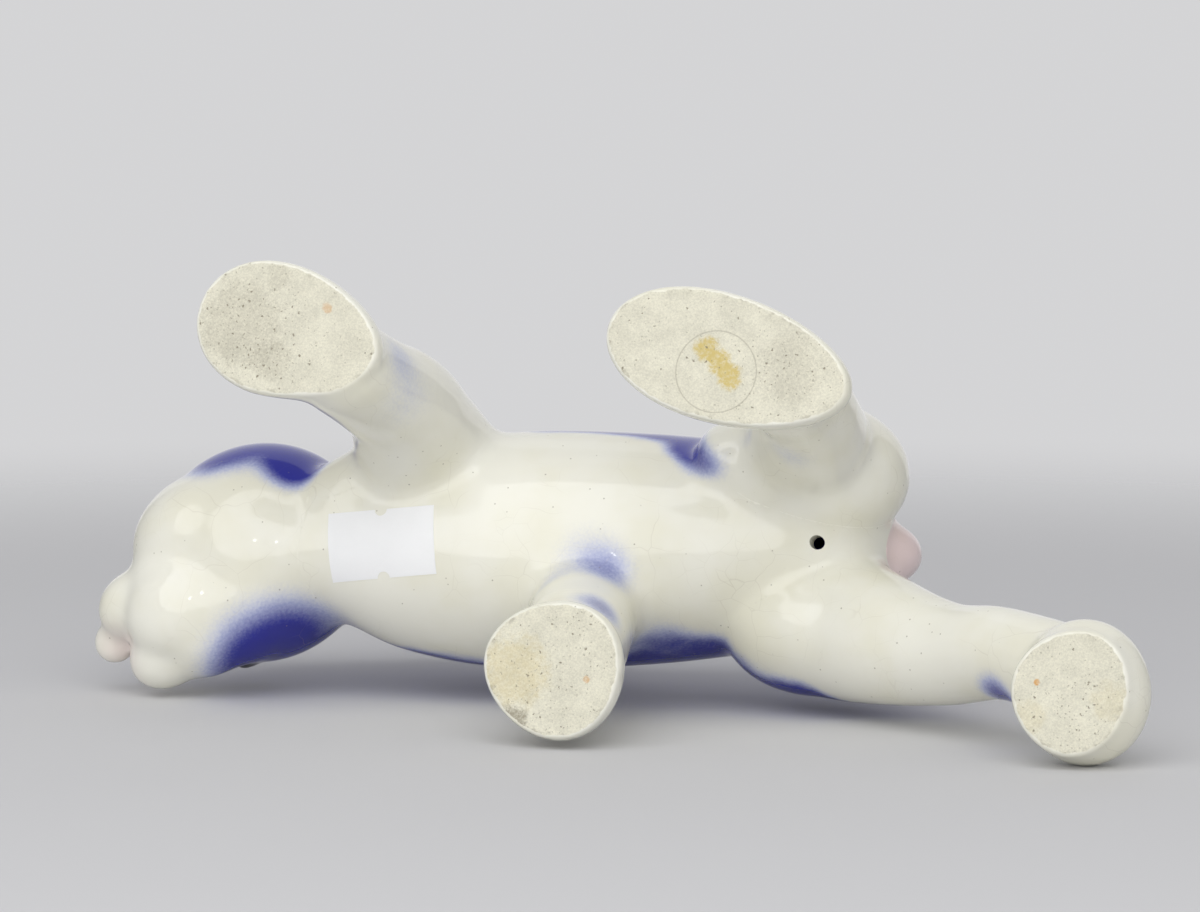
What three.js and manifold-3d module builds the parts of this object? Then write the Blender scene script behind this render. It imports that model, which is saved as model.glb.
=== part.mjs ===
// A striding rabbit figurine in slip-cast earthenware, standing on four flat unglazed soles.
// The torso, head, ears, legs and tail are separate castings. Each smaller casting has a spigot
// that passes through a hole pierced in the larger one, and a collar of slip fills the hole round
// the spigot. The hollow legs and head drain through their spigots into the hollow torso, which
// has one vent in the belly. A blank paper label is stuck on the throat.
// Millimetres, +X forward, +Y to the animal's left, +Z up. The origin is on the floor, under the
// middle of the figure's outline.
import * as THREE from 'three';
import { mergeVertices } from 'three/addons/utils/BufferGeometryUtils.js';
import Module from 'manifold-3d';

const wasm = await Module();
wasm.setup();

// Walls and joints
const WALL = 4.5; // thickness of the hollow castings
const SEAM = 0.3; // gap between two neighbouring pieces
const SLIP = 1; // thickness of a slip collar
const SPIGOT_REACH = 2; // how far the neck's spigot stands into the torso's hollow
const NECK_SPIGOT = { thickness: 17, bore: 11 };
// "depth" is how far a spigot reaches from its root to the middle of the larger casting, as a share,
// and "start" is where it begins inside its own casting, as a share of that casting's length.
const LEG_SPIGOT = { thickness: 14, bore: 7, depth: 0.35 };
const EAR_SPIGOT = { thickness: 6, depth: 0.35, start: 0.16 };
const TAIL_SPIGOT = { thickness: 7, depth: 0.6, start: 0.35 };

// Torso: upright oval sections along X, from the neck to the hip, then a round rump.
// "centre" is the height of the section's middle above the floor.
const TORSO = [
  { x: 84, width: 30, depth: 42, centre: 63 },
  { x: 68, width: 33, depth: 43, centre: 64 },
  { x: 54, width: 46, depth: 49, centre: 66 },
  { x: 28, width: 55.5, depth: 55, centre: 68 },
  { x: -4, width: 54.5, depth: 58, centre: 72 },
  { x: -36, width: 48, depth: 60, centre: 75 },
];
const RUMP_LENGTH = 27;
const NECK_SEAT = 11; // solid clay between the torso's hollow and the neck's narrowest section
const VENT = { x: -49.6, y: -1.2, bore: 3.2 };

// Head: rounded masses placed from the middle of the skull, in the head's own frame. The muzzle
// sits a little aside of the skull's middle line.
const HEAD = { x: 88.5, y: 0.5, z: 66, turn: -34, nod: 5 };
const SKULL = { length: 55, width: 52, height: 53 };
const CHEEK = { ahead: 8, out: 9, down: 8, length: 37, width: 30, height: 33 };
const JOWL = { ahead: 18, out: 8.5, aside: -4, down: 11, length: 27, width: 19, height: 24 };
const WHISKER_PAD = { ahead: 30.3, out: 7.1, aside: -2.8, down: 10.5, length: 19.5, width: 16.5, height: 17 };
const MUZZLE = { ahead: 22, aside: -1.8, down: 9, length: 28, width: 24, height: 22 };
const CHIN = { ahead: 21, aside: -3.2, down: 16.5, length: 32, width: 27, height: 19 };
const NOSE = { ahead: 40.4, aside: 0.8, down: 6, length: 10.5, width: 11, height: 9 };
const FACE_MIDDLE = { ahead: 12, down: 6 }; // inside the head, in line with the nose
const EYE = { ahead: 16, out: 17.5, up: 8, length: 12, width: 5.5, height: 10 };
const FACE_BLEND = 5; // how softly the masses of the head run into each other

// Ears: leaves laid back over the shoulders, hollow on the outer face
const EAR = { rootBack: 7, rootOut: 8, rootSink: 4.3, tipX: 6, tipY: 13, tipZ: 110 };
const EAR_LIFT = 12; // how far the middle of the ear is drawn up from its chord
const EAR_WIDTH = 24;
const EAR_THICKNESS = 8;
const EAR_HOLLOW = 3; // depth of the hollow in the outer face
const EAR_LEAN = 52; // the hollow face leans outwards by this angle
const EAR_CUP = 0.68; // width of the hollow, as a share of the ear's
const EAR_LEAF = { start: 0.1, span: 0.895, fullness: 0.85 }; // a leaf is half a wave, bent forward

// Legs: a tapering stem from the hip or shoulder down to the ankle, a rounded paw cut flat by the
// floor and further rounded masses. "path" runs down the stem as x, y, z and the thickness there.
// "egg" makes a paw wider in front and narrower behind.
const PAW_RISE = 3; // height of a paw's widest level above the floor
const LEG_BLEND = 9;
const LEGS = {
  left_foreleg: {
    path: [
      [43, 15, 64, 36], [45, 25.5, 50, 32], [44.5, 31, 36, 27], [46, 34, 22, 23], [50, 36.8, 10, 23],
    ],
    paw: { x: 60.5, y: 44, length: 44.6, width: 30.2, height: 25, turn: 17.6, egg: 0.16 },
    masses: [
      { x: 63, y: 11, z: 57, length: 34, width: 24, height: 24, turn: -30 },
    ],
  },
  right_foreleg: {
    path: [
      [5, -9, 64, 28], [4.5, -15.5, 50, 26], [2.5, -21, 36, 25], [0.5, -26.5, 20, 25], [0, -30, 10, 26],
    ],
    paw: { x: 0, y: -31.4, length: 31.4, width: 30.3, height: 25, turn: 15, egg: -0.14 },
    masses: [],
  },
  left_hind_leg: {
    path: [
      [-44, 16, 66, 34], [-47, 20.5, 52, 30], [-51, 23.5, 36, 25],
      [-52.5, 26.5, 22, 21], [-50.5, 29, 10, 21],
    ],
    paw: { x: -39.9, y: 34.8, length: 57.9, width: 28.3, height: 25, turn: 17.3, egg: 0.11 },
    masses: [
      { x: -45, y: 15.5, z: 64, length: 47, width: 36, height: 48 },
      { x: -28.5, y: 18.5, z: 56, length: 17, width: 19, height: 27 },
    ],
  },
  right_hind_leg: {
    path: [
      [-44, -16, 70, 36], [-60, -22, 57, 32], [-79, -27, 43, 24],
      [-97, -28.5, 27, 20.5], [-113, -35, 13, 22],
    ],
    paw: { x: -112.2, y: -37.8, length: 25.2, width: 27.7, height: 26, turn: 16.5, egg: -0.14 },
    masses: [
      { x: -47, y: -19, z: 67.5, length: 46, width: 33, height: 46 },
      { x: -115, y: -37.2, z: 10, length: 25, width: 29.5, height: 21 },
    ],
  },
};

// Tail: a short upright scut on the rump
const TAIL = { forward: 2.5, aside: -1.6, up: 5, length: 15, width: 15, height: 22, lean: -24 };

// Paper label on the throat
const LABEL = { x: 51.3, y: 0, length: 26, width: 16, thickness: 0.25, notch: 3, turn: -3 };

// Fineness of the facets
const OUTER = { torso: 14, rump: 5, head: 25, leg: 15, sides: 26 };
const INNER = { torso: 8, rump: 4, head: 11, leg: 8, sides: 16 };
const EAR_FACETS = { rings: 14, sides: 16 };
const ROD_SIDES = 14;
const STEM_BEADS = 8; // between two listed places of a stem
const RUMP_POLE = 84; // angle of the rump's last ring from its widest section
const HEAD_RINGS = { back: 172, front: 3, crowding: 0.68 }; // angles from the nose, closer in front
const LEG_RINGS = { top: 0.97, crowding: 1.5 }; // share of the hip's height, closer near the floor
const FARTHEST = 80; // further from inside a form than any of its surface
const HALVINGS = 24;

const V = (x, y, z) => new THREE.Vector3(x, y, z);
const radians = THREE.MathUtils.degToRad;
const { clamp, lerp } = THREE.MathUtils;

// Closed geometry to a solid, and back

function solid(geometry) {
  const bare = geometry.clone();
  bare.deleteAttribute('normal');
  bare.deleteAttribute('uv');
  const merged = mergeVertices(bare, 1e-4);
  return new wasm.Manifold(new wasm.Mesh({
    numProp: 3,
    vertProperties: new Float32Array(merged.attributes.position.array),
    triVerts: new Uint32Array(merged.index.array),
  }));
}

function geometryOf(body) {
  const { vertProperties, triVerts } = body.getMesh();
  const geometry = new THREE.BufferGeometry();
  geometry.setAttribute('position', new THREE.BufferAttribute(vertProperties, 3));
  geometry.setIndex(new THREE.BufferAttribute(triVerts, 1));
  geometry.computeVertexNormals();
  return geometry;
}

// A closed skin over a row of rings with equally many points, turning right-handed about the row
function skin(rings) {
  const sides = rings[0].length;
  const last = rings.length - 1;
  const middle = (ring) => ring.reduce((sum, p) => sum.add(p), V(0, 0, 0)).divideScalar(sides);
  const points = [...rings.flat(), middle(rings[0]), middle(rings[last])];
  const startPole = points.length - 2;
  const endPole = points.length - 1;
  const faces = [];
  for (let j = 0; j < sides; j++) {
    const k = (j + 1) % sides;
    for (let i = 0; i < last; i++) {
      const here = i * sides;
      const next = here + sides;
      faces.push(here + j, here + k, next + j, here + k, next + k, next + j);
    }
    faces.push(startPole, k, j, endPole, last * sides + j, last * sides + k);
  }
  const geometry = new THREE.BufferGeometry().setFromPoints(points);
  geometry.setIndex(faces);
  return solid(geometry);
}

const angles = (sides) => Array.from({ length: sides }, (_, j) => (2 * Math.PI * j) / sides);
const steps = (count) => Array.from({ length: count + 1 }, (_, i) => i / count);

function ovalRing(centre, right, up, halfWidth, halfHeight, sides) {
  return angles(sides).map((angle) => centre.clone()
    .addScaledVector(right, halfWidth * Math.cos(angle))
    .addScaledVector(up, halfHeight * Math.sin(angle)));
}

function ball({ length, width, height }, centre, turn) {
  return solid(new THREE.SphereGeometry(0.5, 18, 12)
    .rotateX(Math.PI / 2)
    .scale(length, width, height)
    .applyQuaternion(new THREE.Quaternion().setFromEuler(turn))
    .translate(centre.x, centre.y, centre.z));
}

function rod(from, to, thickness) {
  const axis = to.clone().sub(from);
  const geometry = new THREE.CylinderGeometry(thickness / 2, thickness / 2, axis.length(), ROD_SIDES);
  const turn = new THREE.Quaternion().setFromUnitVectors(V(0, 1, 0), axis.clone().normalize());
  const middle = from.clone().lerp(to, 0.5);
  return solid(geometry.applyQuaternion(turn).translate(middle.x, middle.y, middle.z));
}

// Forms: functions that give about how far a point lies outside a rounded mass

function ovalForm({ length, width, height, egg = 0 }, centre, turn) {
  const back = new THREE.Quaternion().setFromEuler(turn).invert();
  const halves = V(length / 2, width / 2, height / 2);
  return (point) => {
    const p = point.clone().sub(centre).applyQuaternion(back).divide(halves);
    p.y /= 1 + egg * clamp(p.x, -1, 1);
    const share = p.length();
    const slope = p.divide(halves).length();
    return slope > 0 ? (share * (share - 1)) / slope : -Math.min(halves.x, halves.y, halves.z);
  };
}

function stemForm(path) {
  const curve = new THREE.CatmullRomCurve3(path.map(([x, y, z]) => V(x, y, z)));
  const spans = path.length - 1;
  const beads = steps(STEM_BEADS * spans).map((t) => {
    const n = Math.min(Math.floor(t * spans), spans - 1);
    return { at: curve.getPoint(t), radius: lerp(path[n][3], path[n + 1][3], t * spans - n) / 2 };
  });
  return (point) => Math.min(...beads.map(({ at, radius }) => point.distanceTo(at) - radius));
}

// Several forms run together, with their hollows filled over about "soft"
const blend = (forms, soft) => (point) => forms.map((form) => form(point)).reduce((a, b) => {
  const share = Math.max(soft - Math.abs(a - b), 0) / soft;
  return Math.min(a, b) - (share * share * soft) / 4;
});

// How far the form's surface, grown by "grow", lies from a point inside it
function reach(form, from, way, grow) {
  let inside = 0;
  let outside = FARTHEST;
  for (let n = 0; n < HALVINGS; n++) {
    const half = (inside + outside) / 2;
    if (form(from.clone().addScaledVector(way, half)) < grow) inside = half;
    else outside = half;
  }
  return inside;
}

function onSurface(form, from, way, grow) {
  return from.clone().addScaledVector(way, reach(form, from, way, grow));
}

// Torso

// A size of the torso's section at x, on a smooth curve through the listed sections
function torsoSize(x, key) {
  const at = (i) => TORSO[clamp(i, 0, TORSO.length - 1)];
  let i = 0;
  while (i < TORSO.length - 2 && x < TORSO[i + 1].x) i++;
  const slope = (n) => (at(n + 1)[key] - at(n - 1)[key]) / (at(n + 1).x - at(n - 1).x);
  const span = at(i + 1).x - at(i).x;
  const t = clamp((x - at(i).x) / span, 0, 1);
  return at(i)[key] * (1 + 2 * t) * (1 - t) ** 2 + at(i + 1)[key] * t * t * (3 - 2 * t)
    + slope(i) * span * t * (1 - t) ** 2 - slope(i + 1) * span * t * t * (1 - t);
}

const NECK_TIP = TORSO[0].x;
const NECK = TORSO[1];
const HIP = TORSO.at(-1);
const inTorso = (x) => V(x, 0, torsoSize(x, 'centre'));

// The torso's skin, grown by "grow", from the rump forward to x = front
function torsoSkin(grow, front, { torso, rump, sides }) {
  const section = (x, share) => ovalRing(
    inTorso(x), V(0, 1, 0), V(0, 0, 1),
    (torsoSize(x, 'width') / 2 + grow) * share, (torsoSize(x, 'depth') / 2 + grow) * share, sides,
  );
  const round = steps(rump).slice(0, -1).map((t) => {
    const angle = radians(lerp(RUMP_POLE, 0, t));
    return section(HIP.x - (RUMP_LENGTH + grow) * Math.sin(angle), Math.cos(angle));
  });
  return skin([...round, ...steps(torso).map((t) => section(lerp(HIP.x, front, t), 1))]);
}

const underside = (x, y) => {
  const share = Math.sqrt(1 - (2 * y / torsoSize(x, 'width')) ** 2);
  return torsoSize(x, 'centre') - (torsoSize(x, 'depth') / 2) * share;
};

// Head

const headTurn = new THREE.Euler(0, radians(HEAD.nod), radians(HEAD.turn), 'ZYX');
const headMiddle = V(HEAD.x, HEAD.y, HEAD.z);
const inHead = (x, y, z) => V(x, y, z).applyEuler(headTurn).add(headMiddle);

const inFace = ({ ahead = 0, out = 0, aside = 0, up = 0, down = 0 }, side) => (
  inHead(ahead, out * side + aside, up - down)
);
const faceMiddle = inFace(FACE_MIDDLE, 0);
const headMass = (mass, side) => ovalForm(mass, inFace(mass, side), headTurn);
const pair = (mass) => [headMass(mass, 1), headMass(mass, -1)];
const headForm = blend([
  headMass(SKULL, 0), headMass(MUZZLE, 0), headMass(CHIN, 0),
  ...pair(CHEEK), ...pair(JOWL), ...pair(WHISKER_PAD),
], FACE_BLEND);

// The head's skin from the back of the skull to the nose, with closer rings towards the nose
function headSkin(form, grow, { head, sides }) {
  return skin(steps(head).map((t) => {
    const polar = radians(lerp(HEAD_RINGS.back, HEAD_RINGS.front, t ** HEAD_RINGS.crowding));
    return angles(sides).map((angle) => {
      const around = Math.sin(polar);
      const ray = V(Math.cos(polar), around * Math.cos(angle), around * Math.sin(angle));
      return onSurface(form, faceMiddle, ray.applyEuler(headTurn), grow);
    });
  }));
}

// A small oval ball on the face
const headBall = (mass, side) => ball(mass, inFace(mass, side), headTurn);

// Legs

function legForm({ path, paw, masses }) {
  const pawForm = ovalForm(paw, V(paw.x, paw.y, PAW_RISE), new THREE.Euler(0, 0, radians(paw.turn)));
  const others = masses.map((mass) => {
    const turn = new THREE.Euler(0, 0, radians(mass.turn ?? 0));
    return ovalForm(mass, V(mass.x, mass.y, mass.z), turn);
  });
  return blend([stemForm(path), pawForm, ...others], LEG_BLEND);
}

// The leg's skin in level rings, from "floor" up to the top of the hip
function legSkin({ path, paw }, form, grow, floor, { leg, sides }) {
  const spine = [...path.map(([x, y, z]) => V(x, y, z)), V(paw.x, paw.y, 0)];
  const hip = spine[0];
  const top = hip.z + LEG_RINGS.top * reach(form, hip, V(0, 0, 1), grow);
  return skin(steps(leg).map((t) => {
    const level = lerp(floor, top, t ** LEG_RINGS.crowding);
    const n = Math.max(spine.findIndex((p) => p.z <= level), 1);
    const share = clamp((level - spine[n].z) / (spine[n - 1].z - spine[n].z), 0, 1);
    const centre = spine[n].clone().lerp(spine[n - 1], share).setZ(level);
    return angles(sides).map((angle) => {
      const way = V(Math.cos(angle), Math.sin(angle), 0);
      return onSurface(form, centre, way, grow);
    });
  }));
}

// Ears

// How high the top of the skull lies above its middle
const crown = (x, y) => {
  const share = (2 * x / SKULL.length) ** 2 + (2 * y / SKULL.width) ** 2;
  return (SKULL.height / 2) * Math.sqrt(1 - share);
};

const earCurve = (side) => {
  const rootUp = crown(EAR.rootBack, EAR.rootOut) - EAR.rootSink;
  const root = inHead(-EAR.rootBack, EAR.rootOut * side, rootUp);
  const tip = V(EAR.tipX, EAR.tipY * side, EAR.tipZ);
  const bend = root.clone().lerp(tip, 0.5).add(V(0, 0, EAR_LIFT));
  return new THREE.QuadraticBezierCurve3(root, bend, tip);
};

function earSkin(side) {
  const curve = earCurve(side);
  const lean = radians(EAR_LEAN) * side;
  const flat = V(0, Math.cos(lean), -Math.sin(lean));
  const { start, span, fullness } = EAR_LEAF;
  const leaf = (share) => Math.sqrt(Math.sin(Math.PI * (start + span * share) ** fullness));
  const leafSkin = (width, thickness, rise) => skin(steps(EAR_FACETS.rings).map((t) => {
    const up = flat.clone().cross(curve.getTangentAt(t)).normalize();
    const centre = curve.getPointAt(t).addScaledVector(up, rise);
    const halfWidth = (width / 2) * leaf(t);
    return ovalRing(centre, flat, up.negate(), halfWidth, (thickness / 2) * leaf(t), EAR_FACETS.sides);
  }));
  const cup = leafSkin(EAR_WIDTH * EAR_CUP, EAR_HOLLOW * 2, EAR_THICKNESS / 2);
  return leafSkin(EAR_WIDTH, EAR_THICKNESS, 0).subtract(cup);
}

// Tail

const tailMiddle = V(HIP.x - RUMP_LENGTH + TAIL.forward, TAIL.aside, HIP.centre + TAIL.up);

// Label: a sheet bent to the throat, with a small round notch in the middle of both long edges

function labelSkin() {
  const turn = radians(LABEL.turn);
  const sheet = new THREE.BoxGeometry(LABEL.length, LABEL.width, LABEL.thickness, 10, 6, 1)
    .rotateZ(turn)
    .translate(LABEL.x, LABEL.y, -SEAM - LABEL.thickness / 2);
  const place = sheet.attributes.position;
  for (let i = 0; i < place.count; i++) {
    place.setZ(i, place.getZ(i) + underside(place.getX(i), place.getY(i)));
  }
  return [1, -1].reduce((paper, side) => {
    const edge = V(0, (LABEL.width / 2) * side, 0).applyEuler(new THREE.Euler(0, 0, turn));
    const foot = V(LABEL.x + edge.x, LABEL.y + edge.y, 0);
    return paper.subtract(rod(foot, foot.clone().setZ(HIP.centre), LABEL.notch));
  }, solid(sheet));
}

// Castings, trimmed to each other

const torsoGrown = torsoSkin(SEAM, NECK_TIP, OUTER);
const headGrown = headSkin(headForm, SEAM, OUTER);
const torsoBlank = torsoSkin(0, NECK_TIP, OUTER)
  .subtract(headGrown)
  .subtract(torsoSkin(-WALL, NECK.x - NECK_SEAT, INNER));
const headWhole = headSkin(headForm, 0, OUTER)
  .add(headBall(NOSE, 0))
  .add(headBall(EYE, 1))
  .add(headBall(EYE, -1));
const headHollow = headSkin(headMass(SKULL, 0), -WALL, INNER);
const solids = { torso: torsoBlank, head: headWhole };

// Joins a smaller casting to a larger one by a spigot between two points, a hole and a slip collar.
// A hollow casting drains through the spigot.
function join(smaller, larger, blank, from, to, { thickness, bore }, hollow) {
  const collar = thickness + 2 * (SEAM + SLIP);
  const beyond = to.clone().sub(from).setLength(1);
  const longRod = (width) => rod(from.clone().sub(beyond), to.clone().add(beyond), width);
  solids[larger] = solids[larger].subtract(rod(from, to, collar + 2 * SEAM));
  solids[smaller] = solids[smaller].add(rod(from, to, thickness));
  if (hollow) solids[smaller] = solids[smaller].subtract(hollow).subtract(longRod(bore));
  solids[`${smaller}_slip_collar`] = rod(from, to, collar)
    .subtract(longRod(thickness + 2 * SEAM))
    .intersect(blank);
}

const neckInside = inTorso(NECK.x - NECK_SEAT - SPIGOT_REACH);
join('head', 'torso', torsoBlank, headMiddle, neckInside, NECK_SPIGOT, headHollow);

const legsGrown = [];
for (const [name, leg] of Object.entries(LEGS)) {
  const form = legForm(leg);
  legsGrown.push(legSkin(leg, form, SEAM, 0, OUTER));
  const hollow = legSkin(leg, form, -WALL, PAW_RISE + WALL, INNER)
    .subtract(torsoSkin(WALL, NECK_TIP, INNER));
  solids[name] = legSkin(leg, form, 0, 0, OUTER).subtract(torsoGrown).subtract(headGrown);
  const [hip, , knee] = leg.path.map(([x, y, z]) => V(x, y, z));
  const inside = hip.clone().lerp(inTorso(hip.x), LEG_SPIGOT.depth);
  join(name, 'torso', torsoBlank, knee, inside, LEG_SPIGOT, hollow);
}

for (const [name, side] of [['left_ear', 1], ['right_ear', -1]]) {
  solids[name] = earSkin(side).subtract(headGrown).subtract(torsoGrown);
  const curve = earCurve(side);
  const inside = curve.getPointAt(0).lerp(headMiddle, EAR_SPIGOT.depth);
  const outside = curve.getPointAt(EAR_SPIGOT.start);
  join(name, 'head', headWhole.subtract(headHollow), outside, inside, EAR_SPIGOT);
}

const tailWhole = ball(TAIL, tailMiddle, new THREE.Euler(0, radians(TAIL.lean), 0));
solids.tail = [torsoGrown, ...legsGrown].reduce((tail, other) => tail.subtract(other), tailWhole);
const tailBack = tailMiddle.clone().setX(tailMiddle.x - TAIL_SPIGOT.start * TAIL.length);
const tailInside = tailMiddle.clone().lerp(inTorso(HIP.x), TAIL_SPIGOT.depth);
join('tail', 'torso', torsoBlank, tailBack, tailInside, TAIL_SPIGOT);

const ventFoot = V(VENT.x, VENT.y, 0);
solids.torso = solids.torso.subtract(rod(ventFoot, ventFoot.clone().setZ(HIP.centre), VENT.bore));
solids.inventory_label = labelSkin();

// Finishes
const FINISHES = {
  white_glaze: { color: 0xeeeee6, roughness: 0.18, metalness: 0 },
  blue_glaze: { color: 0x3b3f9c, roughness: 0.18, metalness: 0 },
  pink_glaze: { color: 0xe3cfd6, roughness: 0.2, metalness: 0 },
  slip: { color: 0xd9cfbd, roughness: 0.9, metalness: 0 },
  paper: { color: 0xf4f4f6, roughness: 0.8, metalness: 0 },
};
const finishes = Object.fromEntries(Object.entries(FINISHES)
  .map(([name, look]) => [name, new THREE.MeshStandardMaterial({ name, ...look })]));
const finishOf = (name) => {
  if (name.endsWith('slip_collar')) return finishes.slip;
  if (name.endsWith('ear')) return finishes.blue_glaze;
  if (name === 'tail') return finishes.pink_glaze;
  return name === 'inventory_label' ? finishes.paper : finishes.white_glaze;
};

// The figure, moved so that the origin lies under the middle of its outline
const figure = new THREE.Group();
for (const [name, body] of Object.entries(solids)) {
  const mesh = new THREE.Mesh(geometryOf(body), finishOf(name));
  mesh.name = name;
  figure.add(mesh);
}
const outline = new THREE.Box3().setFromObject(figure);
const middle = outline.getCenter(V(0, 0, 0));
figure.position.set(-middle.x, -middle.y, -outline.min.z);
const rabbit = new THREE.Group();
rabbit.name = 'rabbit_figurine';
rabbit.add(figure);

export default rabbit;
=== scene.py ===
from functools import cache
from math import cos, pi, radians, sin, sqrt

import bpy
import numpy as np
from bpy.props import FloatProperty, FloatVectorProperty, IntProperty, PointerProperty
from mathutils import Euler, Matrix, Vector
from mathutils.kdtree import KDTree


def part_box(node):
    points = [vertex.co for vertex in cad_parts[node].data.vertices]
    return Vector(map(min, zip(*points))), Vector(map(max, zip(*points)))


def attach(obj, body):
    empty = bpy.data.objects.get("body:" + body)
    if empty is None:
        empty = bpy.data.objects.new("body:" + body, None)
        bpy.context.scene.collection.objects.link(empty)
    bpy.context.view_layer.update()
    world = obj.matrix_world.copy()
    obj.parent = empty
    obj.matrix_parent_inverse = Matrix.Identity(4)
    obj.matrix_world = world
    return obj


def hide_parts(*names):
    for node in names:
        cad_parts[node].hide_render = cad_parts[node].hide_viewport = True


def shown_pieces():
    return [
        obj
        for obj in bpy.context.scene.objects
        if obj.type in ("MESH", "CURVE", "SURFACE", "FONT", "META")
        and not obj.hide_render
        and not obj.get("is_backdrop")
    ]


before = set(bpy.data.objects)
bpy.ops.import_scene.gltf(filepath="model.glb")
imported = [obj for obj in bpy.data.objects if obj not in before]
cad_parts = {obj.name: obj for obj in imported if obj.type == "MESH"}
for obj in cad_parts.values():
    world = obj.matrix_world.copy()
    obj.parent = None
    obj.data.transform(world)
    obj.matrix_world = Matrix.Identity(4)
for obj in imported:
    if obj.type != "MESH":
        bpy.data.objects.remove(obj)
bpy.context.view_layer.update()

bl_info = {
    "name": "Rabbit figurine",
    "version": (1, 0, 0),
    "blender": (4, 5, 0),
    "location": "3D View > Sidebar > Figurine",
    "description": "A striding rabbit in crackled glaze, modelled as luted castings",
    "category": "Object",
}

BODY = "root"
MM = 0.001

# Torso sections from the neck to the hip: x, width, depth and height of the middle, in millimetres
TORSO = np.array((
    (84, 30, 42, 63), (68, 33, 43, 64), (54, 46, 49, 66), (28, 55.5, 55, 68), (-4, 54.5, 58, 72),
    (-36, 48, 60, 75),
), float)
RUMP_LENGTH = 27
HIP_X, _, _, HIP_Z = TORSO[-1]
TORSO_STEP = 3

# Head: masses as ahead, to the left, up, then length, width, height, from the middle of the skull
HEAD_MIDDLE = Vector((88.5, 0.5, 66))
HEAD_TURN = Euler((0, radians(5), radians(-34)))
SKULL = (0, 0, 0, 55, 52, 53)
CHEEKS = ((8, 9, -8, 37, 30, 33), (8, -9, -8, 37, 30, 33))
JOWLS = ((18, 4.5, -11, 27, 19, 24), (18, -12.5, -11, 27, 19, 24))
PADS = ((30.3, 4.3, -10.5, 19.5, 16.5, 17), (30.3, -9.9, -10.5, 19.5, 16.5, 17))
MUZZLE = (22, -1.8, -9, 28, 24, 22)
CHIN = (19.6, -3.8, -16.5, 30, 25, 19)
NOSE = (40.4, 0.8, -6, 10.5, 11, 9)
EYES = ((16, 17.5, 8, 12, 5.5, 10), (16, -17.5, 8, 12, 5.5, 10))
HEAD_MASSES = (SKULL, *CHEEKS, *JOWLS, *PADS, MUZZLE, CHIN, NOSE, *EYES)

# Ears: a leaf from the top of the skull back over the shoulders, hollow on its outer face
EAR_ROOT = (-7, 8, 20)
EAR_TIP = (6, 13, 110)
EAR_LIFT = 12
EAR_WIDTH = 24
EAR_THICKNESS = 8
EAR_HOLLOW = 2.4
EAR_HOLLOW_WIDTH = 0.68 * EAR_WIDTH
EAR_LEAN = radians(52)
EAR_RINGS = 20
# Outline of the leaf: the share of a half wave at its root, how much of the wave it spans, and fullness
EAR_START = 0.1
EAR_SPAN = 0.895
EAR_FULLNESS = 0.85

# Legs: stem as x, y, z and thickness from the hip down, then the paw and further masses as place,
# size, turn and egg, which is above 0 where a mass is wider in front and below 0 where narrower
PAW_RISE = 3
LEGS = {
    "left_foreleg": {
        "stem": (
            (43, 15, 64, 36), (45, 25.5, 50, 31), (44.6, 31, 36, 26.8), (46.4, 33.6, 22, 23.8),
            (50, 36.8, 10, 23),
        ),
        "masses": (
            ((60.5, 43.9, PAW_RISE), (44.6, 30.2, 25), 17.6, 0.16),
            ((62.3, 10.6, 56.5), (35, 24, 25), -31, 0),
        ),
    },
    "right_foreleg": {
        "stem": (
            (5, -9, 64, 28), (4.5, -15.5, 50, 26), (2.5, -21, 36, 25), (0.5, -26.5, 20, 25),
            (0, -30, 10, 26),
        ),
        "masses": (((0, -31.4, PAW_RISE), (31.4, 30.3, 25), 15, -0.14),),
    },
    "left_hind_leg": {
        "stem": (
            (-44, 16, 66, 34), (-47, 20.5, 52, 30), (-51, 23.5, 36, 25), (-52.5, 26.5, 22, 21),
            (-50.5, 29, 10, 21),
        ),
        "masses": (
            ((-39.3, 34.8, PAW_RISE), (56.5, 28.5, 25), 17.3, 0.11),
            ((-45, 15.5, 64), (47, 36, 48), 0, 0),
            ((-28.5, 18.5, 56), (17, 19, 27), 0, 0),
        ),
    },
    "right_hind_leg": {
        "stem": (
            (-44, -16, 70, 36), (-60, -22, 57, 32), (-79, -27, 43, 24), (-97, -28.5, 27, 20.5),
            (-113, -35, 13, 22),
        ),
        "masses": (
            ((-112.2, -37.8, PAW_RISE), (25.2, 27.7, 26), 16.5, -0.14),
            ((-47, -19, 67.5), (46, 33, 46), 0, 0),
            ((-114.9, -37.7, 9), (28.8, 32, 22), 0, 0),
        ),
    },
}

# Tail: place, size and lean of the scut
TAIL_MIDDLE = (HIP_X - RUMP_LENGTH + 2.5, -1.6, HIP_Z + 5)
TAIL_SIZE = (15, 15, 22)
TAIL_LEAN = radians(-24)

# Where the skin is worked smooth: middle and reach of each joint, and of the face
JOINTS = (
    ((46, 20, 50), 34), ((4, -14, 52), 30), ((-46, 18, 50), 42), ((-56, -20, 58), 44),
    ((72, 0, 60), 44), ((-62, 0, 80), 16), ((47, 33, 20), 16), ((0, -26, 20), 14), ((-52, 26, 20), 18),
    ((-99, -29, 26), 16), ((-119, -40, 6), 24), ((56, 30, 8), 16), ((55, 30, 30), 19), ((-54, 12, 46), 24),
)
FACE = (((105, -14, 52), 34),)

# Paper label on the throat, and the vent in the belly
LABEL_PLACE = (51.3, 0)
LABEL_SIZE = (26, 16)
LABEL_TURN = radians(-3)
LABEL_NOTCH = 3
LABEL_GAP = 0.12
VENT_PLACE = (-49.6, -1.2)

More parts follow.
